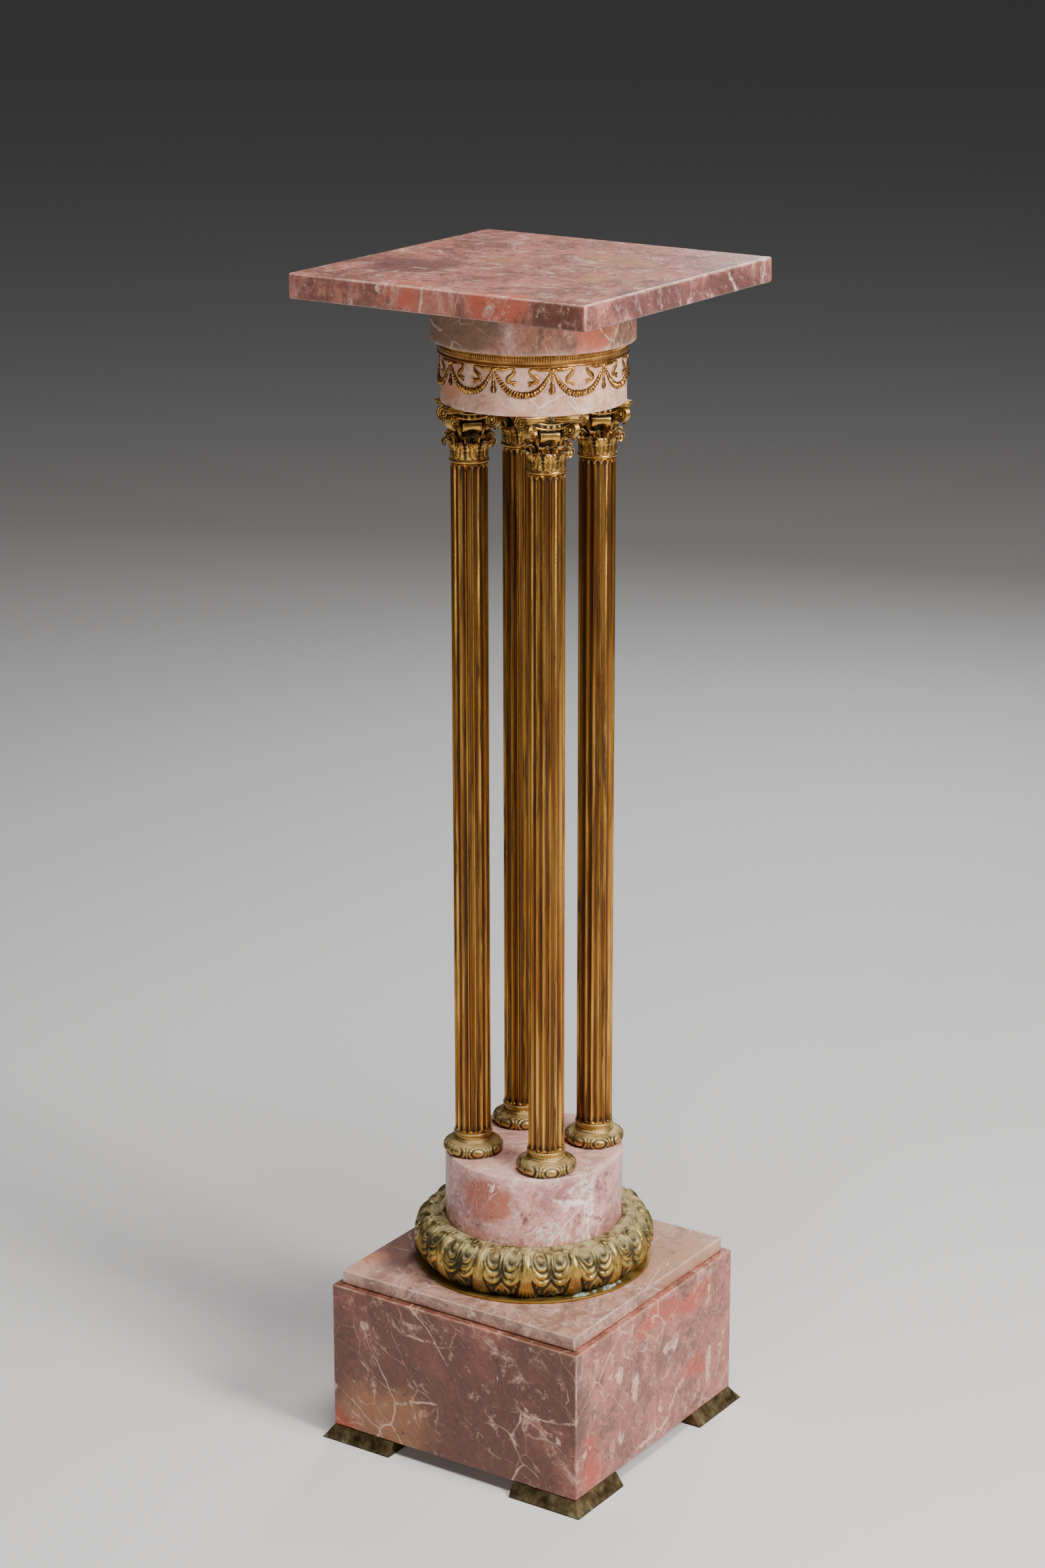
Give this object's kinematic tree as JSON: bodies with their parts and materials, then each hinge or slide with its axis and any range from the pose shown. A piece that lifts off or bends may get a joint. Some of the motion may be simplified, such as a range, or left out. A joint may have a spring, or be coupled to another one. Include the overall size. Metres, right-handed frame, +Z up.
{
  "type": "marble pedestal stand",
  "caption": "Pedestal of pink marble and gilt bronze: square top on a garlanded round frieze, fluted columns, drum with leaf ring, square plinth on corner feet.",
  "frame": {"origin": "on the floor, at the centre of the four feet", "axes": "+Z up; the plinth and slab have faces on X and Y and the columns stand on the diagonals; the side on -Y is a front"},
  "size_m": [0.3, 0.3, 1.0955],
  "materials": {
    "rose_marble": "honed pink marble with pale veins and salmon patches",
    "pale_marble": "honed pale pink marble",
    "gilt_bronze": "worn gilt bronze, dark in its recesses",
    "gilt_brass": "polished gilt brass with brown streaks",
    "aged_bronze": "olive aged bronze, bright on its high points"
  },
  "bodies": {
    "root": {"top_slab": "rose_marble", "collar": "rose_marble", "frieze_drum": "pale_marble", "frieze_band": "gilt_bronze", "garland_frieze": "gilt_bronze", "lower_drum": "rose_marble", "leaf_torus": "aged_bronze", "ring_plate": "gilt_bronze", "plinth_step": "rose_marble", "plinth_block": "rose_marble", "capital_1": "gilt_bronze", "shaft_1": "gilt_brass", "column_base_1": "gilt_bronze", "foot_1": "aged_bronze", "capital_2": "gilt_bronze", "shaft_2": "gilt_brass", "column_base_2": "gilt_bronze", "foot_2": "aged_bronze", "capital_3": "gilt_bronze", "shaft_3": "gilt_brass", "column_base_3": "gilt_bronze", "foot_3": "aged_bronze", "capital_4": "gilt_bronze", "shaft_4": "gilt_brass", "column_base_4": "gilt_bronze", "foot_4": "aged_bronze"}
  },
  "joints": []
}
